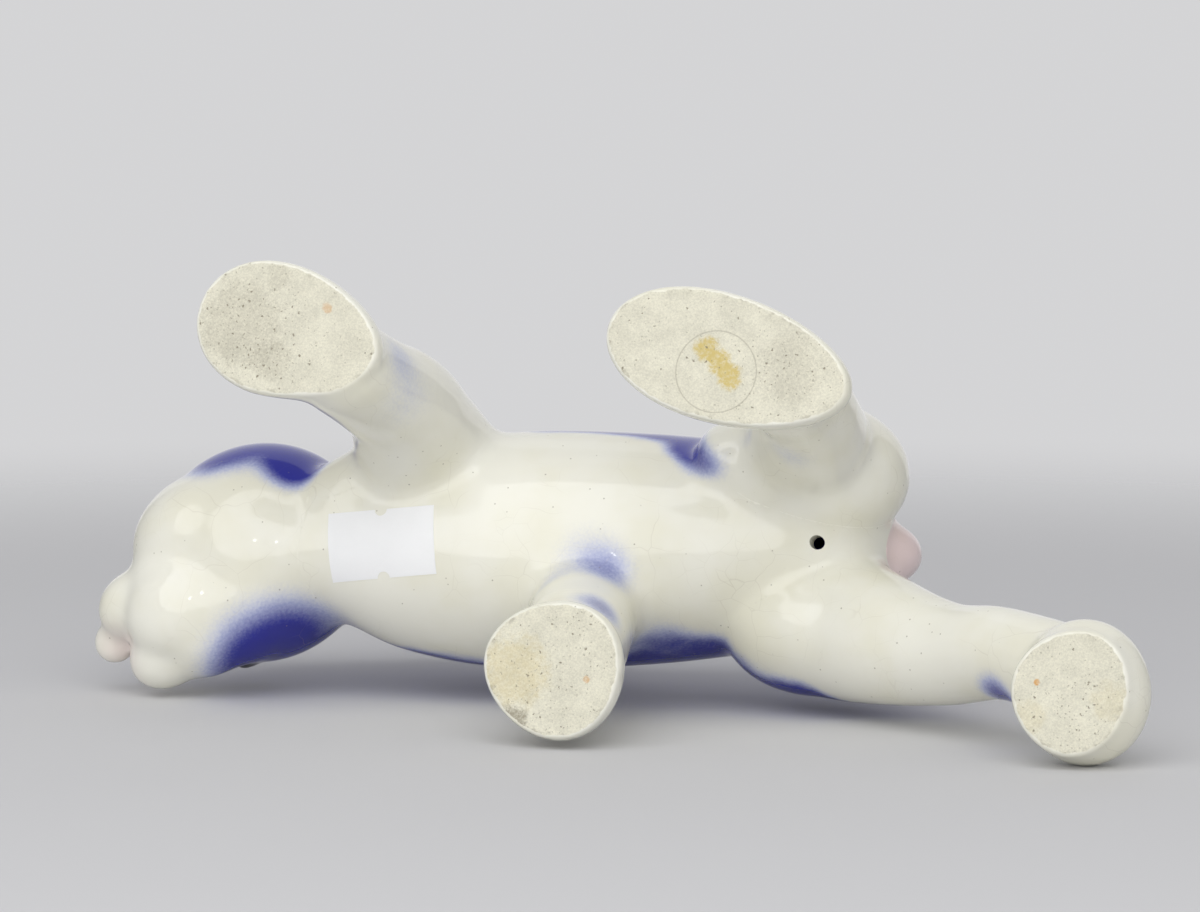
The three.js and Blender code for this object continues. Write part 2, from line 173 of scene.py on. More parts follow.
# Castings that are left once the head, the tail and the torso are parted from the skin, with their
# finish, and the count of points up to which a parted shell is a crumb
LIMBS = {**{name: "white_glaze" for name in LEGS}, "left_ear": "blue_glaze", "right_ear": "blue_glaze"}
CRUMB = 50

# Modelling: how round masses, sections, stems and rods are, how the skin is smoothed and tools are
# remeshed, where the hollow of the torso ends, and from which angle an edge stays sharp
BALL_SEGMENTS = 48
BALL_RINGS = 32
SECTION_POINTS = 48
STEM_ROUNDNESS = 10
ROD_SIDES = 48
SMOOTHING = 0.5
TOOL_VOXEL = 0.001
NECK_INSIDE = 57
SHARP_ANGLE = radians(50)

# Soles: the attribute that keeps how far a place lies from the edge, how high a sole and its side
# reach, and the depth, rim and lumps of the wiped clay
RIM = "sole_inset"
SOLE_LIMIT = 0.35
SOLE_SIDE = 4 * SOLE_LIMIT
SOLE_HOLLOW = 0.28
SOLE_RIM = 2.5
SOLE_LUMP = 7

# Noise patterns of the finishes: scale in turns per millimetre, detail and roughness
PATTERNS = {
    "blue_drift": (0.045, 3, 0.5),
    "blue_cloud": (0.03, 2, 0.5),
    "spray_grain": (1.5, 2, 0.5),
    "crackle_drift": (0.09, 2, 0.5),
    "wide_crackle": (0.05, 2, 0.5),
    "fine_crackle": (0.031, 2, 0.5),
    "pooling": (0.05, 3, 0.5),
    "gloss": (0.2, 2, 0.5),
    "glaze_wave": (0.11, 1, 0.5),
    "glaze_edge": (0.35, 3, 0.5),
    "sole_grain": (2.2, 4, 0.65),
    "clay_grain": (2.4, 3, 0.7),
    "clay_mottle": (0.16, 4, 0.6),
    "stain_patches": (0.3, 4, 0.7),
    "stain_wear": (1.2, 4, 0.7),
    "grit": (0.2, 2, 0.5),
    "grit_shake": (1.6, 2, 0.5),
    "edge_grime": (0.5, 4, 0.5),
    "slip_tone": (0.3, 4, 0.5),
    "slip_grain": (2, 4, 0.5),
    "paper_fibres": (3, 4, 0.7),
    "paper_tone": (0.15, 2, 0.5),
}
NOISE_MIDDLE = 0.5

# Airbrushed cobalt, in millimetres on the body: from a height upwards, with a drifting edge and
# cloudy cover, lower on the right side behind the neck
BLUE_FROM = 58
BLUE_FULL = 80
BLUE_DRIFT = 16
BLUE_LEAST = 0.7
BLUE_CLOUD = 0.5
RIGHT_DROP = 10
RIGHT_SIDE = (-8, -24)
BEHIND_NECK = (70, 45)
# Sprays as middle, reach and strength, their grain, and the cover from which they show. Some sprays round
# the legs and on the right flank are partly painted shade
SPRAYS_AND_SHADE = (
    # Sides of the head
    ((84, 31, 62), 33, 0.95), ((99, 27, 60), 24, 0.5), ((97, 22, 50), 12, 0.12), ((72, 22, 57), 12, 0.5),
    ((76, 17.5, 51), 11, 0.6), ((80, -27, 55), 31, 1.1),
    # Knee of the left hind leg
    ((-20, 25, 61), 14, 0.9), ((-22, 19.5, 49), 9.5, 0.75), ((-27, 16, 44), 8, 0.45),
    ((-33, 23, 40), 8, 0.5),
    # Left foreleg: a blue edge behind, and mist over the leg that is partly blue tint and partly painted
    # shade
    ((36, 42, 11), 12, 0.22), ((38, 32, 16), 23, 0.33),
    # Right foreleg, and the flank behind it: blue on the leg, and mist round its root and on the flank that
    # is partly blue and partly painted shade where leg and body meet
    ((-8, -16, 17), 15, 0.6), ((2, -5, 43), 18, 0.42), ((-5, -9, 40), 13, 0.26), ((11, -11, 35), 10, 0.28),
    ((-11, -22, 54), 16, 0.35),
    # Right haunch, right heel and left shank; the mist on the left shank is partly painted shade between
    # shank and haunch
    ((-44, -41, 62), 17, 0.8), ((-95, -39, 21), 13, 0.8), ((-48, 16, 24), 15, 0.34),
    # Left flank
    ((17, 27, 67), 12, 0.65), ((5, 27, 68), 12, 0.7), ((-7, 25.5, 66), 12, 0.7), ((-17, 22, 55), 9, 0.4),
    # Left white round the tail
    ((-63, -2, 78), 24, -1.5),
)
SPRAY_GRAIN = 0.13
SPRAY_FROM = 0.08

# Crackle: its cells and the bend of its lines in millimetres, the width of a line as a share of a
# cell, where wide and fine cells show, and how much the lines stain and cut
CRACKLE_CELL = 12
CRACKLE_BEND = 6
CRACKLE_LINE = 0.009
WIDE_CRACKLE = (0.42, 0.62)
FINE_CRACKLE = (0.5, 0.66)
FINE_SHARE = 0.6
CRACKLE_STAIN = 0.17
CRACKLE_DEPTH = 0.06

# Tones of the glaze: pooled glaze against thin, where pooling, mist and cobalt start and are full,
# the tint round the mouth, and the reach and core of an eye
POOLED = (0.95, 0.94, 0.88)
POOLING = (0.35, 0.7)
MIST_COVER = (0, 0.5)
COBALT_COVER = (0.25, 0.9)
MOUTH = (37, -3.5, -9)
MOUTH_REACH = 13
MOUTH_TINT = 0.6
EYE_EDGE = (5.8, 5.2)

# Specks as size, cells in a millimetre and, in the glaze, the share of cells that hold one; how dark
# they are, the core of a speck, and the share of specks that are full
GLAZE_SPECKS = (0.26, 0.36, 0.5)
GLAZE_SPECK_STAIN = 0.6
DUST = (0.2, 1.3)
DUST_SHARE = 1.3
DUST_STAIN = 0.6
PITS = (0.32, 0.7)
PIT_STAIN = 0.85
SPECK_CORE = 0.5
FULL_SPECKS = 0.9

# Gloss of the glaze and of the bare clay, and the relief of both, with its height in metres
GLAZE_ROUGHNESS = 0.05
GLOSS_CHANGE = 0.06
BARE_ROUGHNESS = 0.75
GLAZE_IOR = 1.5
GRAIN_HEIGHT = 0.5
WAVE_HEIGHT = 0.12
BARE_DEPTH = 0.3
RELIEF = 0.0004
RELIEF_STRENGTH = 0.4

# Bare clay: its light and dark tones and their contrast, the shares of mottle and grain, and how
# sharply the glaze ends
CLAY_LIGHT = 1.08
CLAY_DARK = 0.78
CLAY_CONTRAST = (0.3, 0.7)
MOTTLE_SHARE = 0.4
GRAIN_SHARE = 0.6
GLAZE_END = 0.3
# Stains as middle, reach, strength and the name of their colour, with ragged edges and wear
STAINS = (
    # Left foreleg
    ((71, 46, 0), 18, 0.22, "grime"), ((64, 38, 0), 9, 0.2, "grime"), ((62.7, 56.5, 0), 6, 0.18, "grime"),
    ((51.2, 48.9, 0), 2.4, 0.5, "rust"),
    # Right foreleg
    ((8, -32, 0), 15, 0.36, "glue"), ((8.5, -43, 0), 7, 0.75, "grime"), ((-8.1, -34, 0), 1.5, 0.6, "rust"),
    # Left hind leg
    ((-35, 37, 0), 5.5, 1.0, "glue"), ((-37.6, 34.2, 0), 5.5, 1.0, "glue"),
    ((-40.2, 31.2, 0), 5.5, 1.0, "glue"), ((-53, 32, 0), 14, 0.15, "grime"),
    # Right hind leg
    ((-105.8, -35.7, 0), 1.4, 1.0, "rust"), ((-104, -43, 0), 7, 0.17, "glue"),
    ((-121, -40, 0), 8, 0.17, "glue"),
)
STAIN_RAGGED = 1.1
STAIN_EDGE = (0.3, 0.75)
WORN_LEAST = 0.6
WEAR = (0.35, 0.6)
# Where grit lies thick, as middle and reach, with its share there and elsewhere
GRIT = (
    ((71, 46, 0), 20), ((64, 38, 0), 12), ((-54, 32, 0), 14), ((-1, -36, 0), 16), ((-7, -21, 0), 9),
    ((-112, -42, 0), 14),
)
GRIT_THICK = 0.5
GRIT_THIN = 0.25
# Grime along the edge of a sole, and the ring that an old sticker left
GRIME_INSET = (2.0, 0.5)
GRIME_PATCHES = (0.52, 0.66)
GRIME_STAIN = 0.4
STICKER_PLACE = (-37, 32.1, 0)
STICKER_RADIUS = 8.9
STICKER_LINE = 0.25
STICKER_STAIN = 0.4

# Slip and paper: darkest tone, roughness and relief, and the shares of fibres and tone in the paper
SLIP_DARK = 0.8
SLIP_ROUGHNESS = 0.9
SLIP_RELIEF = 0.0002
PAPER_DARK = 0.9
PAPER_ROUGHNESS = 0.7
PAPER_RELIEF = 0.0001
PAPER_RELIEF_STRENGTH = 0.2
FIBRE_SHARE = 0.5
TONE_SHARE = 0.4

# View: the camera looks up at the figure's underside
VIEW_TURN = radians(14)
VIEW_TILT = radians(6)
TABLE_TILT = radians(5)
VIEW_TARGET = (0, 19.3, 45)
VIEW_DISTANCE = 0.9
FOCAL_PIXELS = 3931
PHOTO_WIDTH = 1200
SENSOR = 36
# Floors: how far they reach, where they begin to fade out, and their roughness
TABLE_REACH = 0.8
SHELF_REACH = 0.6
FLOOR_FADE = 0.35
FLOOR_ROUGHNESS = 0.8
# Round lights: the way to each as across, high and near, then its distance, size and power
SOFTBOXES = (
    ("key_softbox", (-0.25, 0.65, 1.0), 1.0, 1.6, 11.0),
    ("fill_softbox", (0.9, 0.35, 0.75), 1.0, 1.3, 1.2),
    ("back_softbox", (0.1, 0.45, -1.0), 1.0, 1.6, 3.0),
    ("lamp", (-0.17, 0.21, 0.98), 1.0, 0.05, 0.12),
)
AMBIENT = (0.34, 0.34, 0.35)
BACKGROUND = (0.66, 0.66, 0.67)

# The body's own origin in the frame, found from the label's place
LABEL_MIDDLE = [(low + high) / 2 for low, high in zip(*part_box("inventory_label"))]
ORIGIN = Vector((LABEL_MIDDLE[0] - LABEL_PLACE[0] * MM, LABEL_MIDDLE[1] - LABEL_PLACE[1] * MM, 0))


def length_setting(label, description, default):
    """A length that a user may change."""
    return FloatProperty(name=label, description=description, default=default, unit="LENGTH")


def passes_setting(label, description, default):
    """A count of smoothing passes that a user may change."""
    return IntProperty(name=label, description=description, default=default)


class FigureSizes(bpy.types.PropertyGroup):
    voxel: length_setting("Voxel", "Fineness of the modelled skin", 0.0007)
    skin_passes: passes_setting("Skin passes", "Smoothing over the whole skin", 8)
    joint_passes: passes_setting("Joint passes", "Smoothing where castings are luted", 125)
    face_passes: passes_setting("Face passes", "Smoothing of the face", 45)
    rim_passes: passes_setting("Rim passes", "Smoothing of the cut edges of the soles", 6)
    wall: length_setting("Wall", "Thickness of the hollow casting", 0.0045)
    seam: length_setting("Seam height", "How far out on the fillet a casting begins", 0.0022)
    vent: length_setting("Vent", "Bore of the vent in the belly", 0.0032)
    paper: length_setting("Paper", "Thickness of the label", 0.00016)


def colour_setting(label, description, default):
    """A colour that a user may change."""
    return FloatVectorProperty(
        name=label, description=description, default=default, subtype="COLOR", size=3, min=0, max=1)


class GlazeColours(bpy.types.PropertyGroup):
    white: colour_setting("White", "Creamy white glaze", (0.83, 0.82, 0.73))
    cobalt: colour_setting("Cobalt", "Airbrushed blue", (0.020, 0.024, 0.29))
    # Mist is also the tone of the painted shade round the roots of the legs and on the right flank
    mist: colour_setting("Mist", "Thin blue over white", (0.46, 0.50, 0.70))
    pink: colour_setting("Pink", "Tint of nose and tail", (0.80, 0.66, 0.65))
    eye: colour_setting("Eye", "Painted eyes", (0.012, 0.009, 0.008))
    crackle: colour_setting("Crackle", "Stain in the crackle", (0.36, 0.31, 0.23))
    clay: colour_setting("Clay", "Bare fired clay", (0.73, 0.705, 0.575))
    grime: colour_setting("Grime", "Dirt and specks", (0.24, 0.21, 0.15))
    glue: colour_setting("Glue", "Yellowed glue of an old sticker", (0.60, 0.48, 0.18))
    rust: colour_setting("Rust", "Small rusty spots", (0.62, 0.33, 0.10))
    paper: colour_setting("Paper", "Label paper", (0.92, 0.925, 0.93))
    floor: colour_setting("Floor", "Studio floor", (0.62, 0.62, 0.63))


def in_body(point):
    """A place given in the body's own millimetres, in the frame."""
    return Vector(point) * MM + ORIGIN


def in_head(place):
    """A place given from the middle of the skull, in the body's own millimetres."""
    return HEAD_TURN.to_matrix() @ Vector(place) + HEAD_MIDDLE


def activate(piece):
    """Selects one object alone."""
    bpy.ops.object.select_all(action="DESELECT")
    piece.select_set(True)
    bpy.context.view_layer.objects.active = piece


def apply_modifier(piece, kind, **settings):
    """Adds a modifier and applies it."""
    modifier = piece.modifiers.new(kind.title(), kind)
    for name, value in settings.items():
        setattr(modifier, name, value)
    activate(piece)
    bpy.ops.object.modifier_apply(modifier=modifier.name)
    return piece


def cut(piece, tool, operation="DIFFERENCE"):
    """Cuts a closed piece with a closed tool."""
    return apply_modifier(piece, "BOOLEAN", operation=operation, object=tool, solver="MANIFOLD")


def join(parts, name):
    """Joins objects into one, with its place in its mesh."""
    bpy.ops.object.select_all(action="DESELECT")
    for part in parts:
        part.select_set(True)
    bpy.context.view_layer.objects.active = parts[0]
    bpy.ops.object.join()
    whole = bpy.context.object
    whole.name = whole.data.name = name
    bpy.ops.object.transform_apply(location=True, rotation=True, scale=True)
    return whole


def copy_of(piece, name):
    """A copy with a mesh of its own."""
    activate(piece)
    bpy.ops.object.duplicate()
    twin = bpy.context.object
    twin.name = twin.data.name = name
    return twin


def remove(*pieces):
    """Deletes working objects."""
    for piece in pieces:
        bpy.data.meshes.remove(piece.data)


def add_ball(middle, size, turn=Euler(), grow=0, egg=0):
    """A rounded mass, with its size in millimetres."""
    bpy.ops.object.select_all(action="DESELECT")
    bpy.ops.mesh.primitive_uv_sphere_add(segments=BALL_SEGMENTS, ring_count=BALL_RINGS, radius=0.5)
    ball = bpy.context.object
    if egg:
        apply_modifier(ball, "SIMPLE_DEFORM", deform_method="TAPER", deform_axis="X", factor=2 * egg)
    ball.location = in_body(middle)
    ball.rotation_euler = turn
    ball.scale = [(side + 2 * grow) * MM for side in size]
    bpy.ops.object.transform_apply(location=True, rotation=True, scale=True)
    return ball


def add_head_mass(mass, grow=0):
    """A rounded mass of the head."""
    return add_ball(in_head(mass[:3]), mass[3:], HEAD_TURN, grow)


def add_stem(path):
    """A tapering limb through places with a thickness each, round at both ends."""
    bpy.ops.object.select_all(action="DESELECT")
    bpy.ops.curve.primitive_bezier_curve_add(location=(0, 0, 0))
    stem = bpy.context.object
    stem.data.bevel_depth = MM
    stem.data.bevel_resolution = STEM_ROUNDNESS
    stem.data.use_fill_caps = True
    spline = stem.data.splines[0]
    spline.radius_interpolation = "CARDINAL"
    spline.bezier_points.add(len(path) - len(spline.bezier_points))
    for point, (x, y, z, thickness) in zip(spline.bezier_points, path):
        point.co = in_body((x, y, z))
        point.radius = thickness / 2
        point.handle_left_type = point.handle_right_type = "AUTO"
    bpy.ops.object.convert(target="MESH")
    ends = [add_ball((x, y, z), [thickness] * 3) for x, y, z, thickness in (path[0], path[-1])]
    return join([stem, *ends], "stem")


def add_loft(sections, name):
    """A closed skin over oval sections, each a middle, a turn, a width and a height."""
    rings = []
    for middle, turn, width, height in sections:
        bpy.ops.object.select_all(action="DESELECT")
        bpy.ops.mesh.primitive_circle_add(vertices=SECTION_POINTS, radius=0.5, location=in_body(middle))
        ring = bpy.context.object
        ring.rotation_euler = turn
        ring.scale = (width * MM, height * MM, 1)
        rings.append(ring)
    loft = join(rings, name)
    bpy.ops.object.mode_set(mode="EDIT")
    bpy.ops.mesh.select_all(action="SELECT")
    bpy.ops.mesh.bridge_edge_loops()
    bpy.ops.mesh.select_all(action="SELECT")
    bpy.ops.mesh.fill_holes(sides=0)
    bpy.ops.mesh.select_all(action="SELECT")
    bpy.ops.mesh.normals_make_consistent(inside=False)
    bpy.ops.object.mode_set(mode="OBJECT")
    return loft


def torso_at(x):
    """Width, depth and middle height of the torso at x, on a smooth curve through its sections."""
    last = len(TORSO) - 1
    i = sum(x < section[0] for section in TORSO[1:last])

    def slope(n):
        step = TORSO[min(n + 1, last)] - TORSO[max(n - 1, 0)]
        return step[1:] / step[0]

    here, there = TORSO[i], TORSO[i + 1]
    span = there[0] - here[0]
    t = min(max((x - here[0]) / span, 0), 1)
    flat = here[1:] * (1 + 2 * t) * (1 - t) ** 2 + there[1:] * t * t * (3 - 2 * t)
    return flat + span * t * (1 - t) * (slope(i) * (1 - t) - slope(i + 1) * t)


def add_torso(grow, front, name):
    """The torso's round body, grown by millimetres, from the rump to x = front."""
    across = Euler((pi / 2, 0, pi / 2))
    sections = []
    for x in np.linspace(HIP_X, front, int((front - HIP_X) / TORSO_STEP)):
        width, depth, height = torso_at(x)
        sections.append(((x, 0, height), across, width + 2 * grow, depth + 2 * grow))
    width, depth, height = torso_at(HIP_X)
    rump = add_ball((HIP_X, 0, height), (2 * RUMP_LENGTH, width, depth), grow=grow)
    return join([add_loft(sections, name), rump], name)


def add_ear(side):
    """One ear, a hollowed leaf."""
    root = in_head((EAR_ROOT[0], EAR_ROOT[1] * side, EAR_ROOT[2]))
    tip = Vector((EAR_TIP[0], EAR_TIP[1] * side, EAR_TIP[2]))
    bend = (root + tip) / 2 + Vector((0, 0, EAR_LIFT))
    flat = Vector((0, cos(EAR_LEAN), -sin(EAR_LEAN) * side))

    def leaf(width, thickness, rise, name):
        sections = []
        for t in np.linspace(0, 1, EAR_RINGS):
            middle = root * (1 - t) ** 2 + bend * 2 * t * (1 - t) + tip * t * t
            along = ((bend - root) * (1 - t) + (tip - bend) * t).normalized()
            up = flat.cross(along).normalized()
            right = along.cross(up)
            share = sqrt(sin(pi * (EAR_START + EAR_SPAN * t) ** EAR_FULLNESS))
            turn = Matrix((right, up, along)).transposed().to_euler()
            sections.append((middle + up * rise, turn, width * share, thickness * share))
        return add_loft(sections, name)

    ear = leaf(EAR_WIDTH, EAR_THICKNESS, 0, "ear")
    hollow = leaf(EAR_HOLLOW_WIDTH, EAR_HOLLOW * 2, EAR_THICKNESS / 2, "ear_hollow")
    cut(ear, hollow)
    remove(hollow)
    return ear


def add_leg(shape):
    """One leg: stem, paw and haunch."""
    masses = []
    for place, size, turn, egg in shape["masses"]:
        masses.append(add_ball(place, size, Euler((0, 0, radians(turn))), egg=egg))
    return join([add_stem(shape["stem"]), *masses], "leg")


def add_tail(grow):
    """The short scut."""
    return add_ball(TAIL_MIDDLE, TAIL_SIZE, Euler((0, TAIL_LEAN, 0)), grow)


def places_of(piece):
    """The places of a mesh's points, in the body's own millimetres."""
    flat = np.empty(len(piece.data.vertices) * 3, np.float32)
    piece.data.vertices.foreach_get("co", flat)
    return (flat.reshape(-1, 3) - np.array(ORIGIN)) / MM


def smooth(piece, passes, group=""):
    """Works the skin smooth."""
    return apply_modifier(piece, "SMOOTH", factor=SMOOTHING, iterations=passes, vertex_group=group)


def weigh(skin, spots, name):
    """A vertex group that is full within half the reach of the given spots and fades out beyond."""
    points = places_of(skin)
    weight = np.zeros(len(points))
    for middle, reach in spots:
        share = np.clip(2 * (1 - np.linalg.norm(points - middle, axis=1) / reach), 0, 1)
        weight = np.maximum(weight, share * share * (3 - 2 * share))
    group = skin.vertex_groups.new(name=name)
    for index in np.nonzero(weight)[0]:
        group.add([int(index)], float(weight[index]), "REPLACE")


def floor_block():
    """A block below the floor, which cuts the soles flat."""
    bpy.ops.object.select_all(action="DESELECT")
    bpy.ops.mesh.primitive_cube_add(size=1, location=(0, 0, -0.5))
    return bpy.context.object


def sole_insets(piece):
    """How far each point of a sole lies from its edge, in millimetres, and 0 for all other points."""
    points = places_of(piece)
    side = np.nonzero((points[:, 2] > SOLE_LIMIT) & (points[:, 2] < SOLE_SIDE))[0]
    tree = KDTree(len(side))
    for index in side:
        tree.insert(points[index], int(index))
    tree.balance()
    return [tree.find(point)[2] if point[2] <= SOLE_LIMIT else 0.0 for point in points]


def work_soles(skin):
    """Leaves the bare soles a little hollow and uneven within their rims, as wiped clay is."""
    group = skin.vertex_groups.new(name="soles")
    for index, inset in enumerate(sole_insets(skin)):
        if inset:
            group.add([index], min(inset / SOLE_RIM, 1), "REPLACE")
    clay = bpy.data.textures.new("wiped_clay", "CLOUDS")
    clay.noise_scale = SOLE_LUMP * MM
    apply_modifier(
        skin, "DISPLACE", texture=clay, texture_coords="LOCAL", direction="Z", mid_level=0,
        strength=SOLE_HOLLOW * MM, vertex_group=group.name)


def measure_rim(leg):
    """Keeps the insets of the sole as an attribute, for the edge of the glaze."""
    leg.data.attributes.new(RIM, "FLOAT", "POINT").data.foreach_set("value", sole_insets(leg))


class FIGURINE_OT_skin(bpy.types.Operator):
    """Models the whole figure as one skin, before it is parted into castings"""

    bl_idname = "figurine.skin"
    bl_label = "Skin"

    def execute(self, context):
        sizes = context.scene.figure_sizes
        parts = [add_torso(0, TORSO[0][0], "torso_mass"), *[add_head_mass(mass) for mass in HEAD_MASSES]]
        parts += [add_leg(shape) for shape in LEGS.values()]
        parts += [add_ear(side) for side in (1, -1)]
        parts.append(add_tail(0))
        skin = join(parts, "skin")
        apply_modifier(skin, "REMESH", mode="VOXEL", voxel_size=sizes.voxel, use_smooth_shade=True)
        smooth(skin, sizes.skin_passes)
        weigh(skin, JOINTS, "joints")
        smooth(skin, sizes.joint_passes, "joints")
        weigh(skin, FACE, "face")
        smooth(skin, sizes.face_passes, "face")
        block = floor_block()
        cut(skin, block)
        remove(block)
        apply_modifier(skin, "REMESH", mode="VOXEL", voxel_size=sizes.voxel, use_smooth_shade=True)
        smooth(skin, sizes.rim_passes)
        work_soles(skin)
        return {"FINISHED"}


def head_tool(grow):
    """A closed tool that takes in the head and no more."""
    tool = join([add_head_mass(mass, grow) for mass in HEAD_MASSES], "head_tool")
    return apply_modifier(tool, "REMESH", mode="VOXEL", voxel_size=TOOL_VOXEL)


def torso_tool(grow):
    """A closed tool that takes in the torso and no more."""
    tool = add_torso(grow, TORSO[0][0], "torso_tool")
    return apply_modifier(tool, "REMESH", mode="VOXEL", voxel_size=TOOL_VOXEL)


def add_rod(foot, height, thickness, name):
    """An upright rod, used as a drill or a punch."""
    bpy.ops.object.select_all(action="DESELECT")
    middle = in_body(foot) + Vector((0, 0, height * MM / 2))
    bpy.ops.mesh.primitive_cylinder_add(
        vertices=ROD_SIDES, radius=thickness / 2, depth=height * MM, location=middle)
    rod = bpy.context.object
    rod.name = name
    bpy.ops.object.transform_apply(location=True, rotation=True, scale=True)
    return rod


def finish_piece(piece, node, material):
    """Gives a piece its finish and its place in the assembly."""
    piece.data.materials.clear()
    piece.data.materials.append(material)
    activate(piece)
    bpy.ops.object.shade_smooth_by_angle(angle=SHARP_ANGLE)
    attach(piece, BODY)
    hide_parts(node)


class FIGURINE_OT_head(bpy.types.Operator):
    """Parts the head from the skin"""

    bl_idname = "figurine.head"
    bl_label = "Head"

    def execute(self, context):
        tool = head_tool(context.scene.figure_sizes.seam / MM)
        skin = bpy.data.objects["skin"]
        head = cut(copy_of(skin, "head_casting"), tool, "INTERSECT")
        cut(skin, tool)
        remove(tool)
        finish_piece(head, "head", glaze("white_glaze"))
        return {"FINISHED"}


class FIGURINE_OT_torso(bpy.types.Operator):
    """Parts the torso from the skin, hollows it and drills the vent"""

    bl_idname = "figurine.torso"
    bl_label = "Torso"

    def execute(self, context):
        sizes = context.scene.figure_sizes
        tool = torso_tool(sizes.seam / MM)
        skin = bpy.data.objects["skin"]
        torso = cut(copy_of(skin, "torso_casting"), tool, "INTERSECT")
        cut(skin, tool)
        hollow = add_torso(-sizes.wall / MM, NECK_INSIDE, "hollow")
        apply_modifier(hollow, "REMESH", mode="VOXEL", voxel_size=TOOL_VOXEL)
        drill = add_rod((*VENT_PLACE, 0), HIP_Z, sizes.vent, "drill")
        cut(torso, hollow)
        cut(torso, drill)
        remove(tool, hollow, drill)
        finish_piece(torso, "torso", glaze("white_glaze"))
        return {"FINISHED"}


class FIGURINE_OT_tail(bpy.types.Operator):
    """Parts the tail from the skin"""

    bl_idname = "figurine.tail"
    bl_label = "Tail"

    def execute(self, context):
        tool = add_tail(context.scene.figure_sizes.seam / MM)
        skin = bpy.data.objects["skin"]
        tail = cut(copy_of(skin, "tail_casting"), tool, "INTERSECT")
        cut(skin, tool)
        remove(tool)
        finish_piece(tail, "tail", glaze("pink_glaze"))
        return {"FINISHED"}


class FIGURINE_OT_limbs(bpy.types.Operator):
    """Parts what is left of the skin into the legs and the ears"""

    bl_idname = "figurine.limbs"
    bl_label = "Legs and ears"

    def execute(self, context):
        activate(bpy.data.objects["skin"])
        bpy.ops.mesh.separate(type="LOOSE")
        parts = list(context.selected_objects)
        for node, slot in LIMBS.items():
            low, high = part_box(node)
            middle = (low + high) / 2 - ORIGIN
            whole = [part for part in parts if len(part.data.vertices) > CRUMB]
            near = min(whole, key=lambda part: (Vector(places_of(part).mean(0)) * MM - middle).length)
            parts.remove(near)
            near.name = near.data.name = node + "_casting"
            if node in LEGS:
                measure_rim(near)
            finish_piece(near, node, glaze(slot))
        remove(*parts)
        return {"FINISHED"}


class FIGURINE_OT_label(bpy.types.Operator):
    """Lays the blank paper label on the throat"""

    bl_idname = "figurine.label"
    bl_label = "Label"

    def execute(self, context):
        sizes = context.scene.figure_sizes
        long, wide = LABEL_SIZE
        bpy.ops.object.select_all(action="DESELECT")
        bpy.ops.mesh.primitive_grid_add(
            x_subdivisions=2 * long, y_subdivisions=2 * wide, size=1, location=in_body((*LABEL_PLACE, 0)))
        label = bpy.context.object
        label.name = label.data.name = "label_sheet"
        label.scale = (long * MM, wide * MM, 1)
        label.rotation_euler = (0, 0, LABEL_TURN)
        bpy.ops.object.transform_apply(location=True, rotation=True, scale=True)
        apply_modifier(
            label, "SHRINKWRAP", target=bpy.data.objects["torso_casting"], wrap_method="PROJECT",
            wrap_mode="OUTSIDE_SURFACE", use_project_z=True, use_positive_direction=True,
            offset=LABEL_GAP * MM)
        apply_modifier(label, "SOLIDIFY", thickness=sizes.paper, offset=1)
        bpy.ops.object.mode_set(mode="EDIT")
        bpy.ops.mesh.select_all(action="SELECT")
        bpy.ops.mesh.normals_make_consistent(inside=False)
        bpy.ops.object.mode_set(mode="OBJECT")
        across = Vector((-sin(LABEL_TURN), cos(LABEL_TURN))) * wide / 2
        for side in (1, -1):
            edge = Vector(LABEL_PLACE) + across * side
            punch = add_rod((*edge, 0), HIP_Z, LABEL_NOTCH * MM, "punch")
            cut(label, punch)
            remove(punch)
        finish_piece(label, "inventory_label", paper())
        return {"FINISHED"}


class FIGURINE_OT_collars(bpy.types.Operator):
    """Gives the slip collars inside the joints their fired clay"""

    bl_idname = "figurine.collars"
    bl_label = "Slip collars"

    def execute(self, context):
        material = slip()
        for name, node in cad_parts.items():
            if name.endswith("slip_collar"):
                node.data.materials.clear()
                node.data.materials.append(material)
        return {"FINISHED"}


class Wire:
    """A shader socket that takes part in sums."""

    def __init__(self, finish, socket):
        self.finish = finish
        self.socket = socket

    def math(self, operation, *terms):
        return self.finish.node("ShaderNodeMath", {"operation": operation}, dict(enumerate(terms)))

    def __add__(self, other):
        return self.math("ADD", self, other)

    def __radd__(self, other):
        return self.math("ADD", other, self)

    def __sub__(self, other):
        return self.math("SUBTRACT", self, other)

    def __rsub__(self, other):
        return self.math("SUBTRACT", other, self)

    def __mul__(self, other):
        return self.math("MULTIPLY", self, other)

    def __rmul__(self, other):
        return self.math("MULTIPLY", other, self)


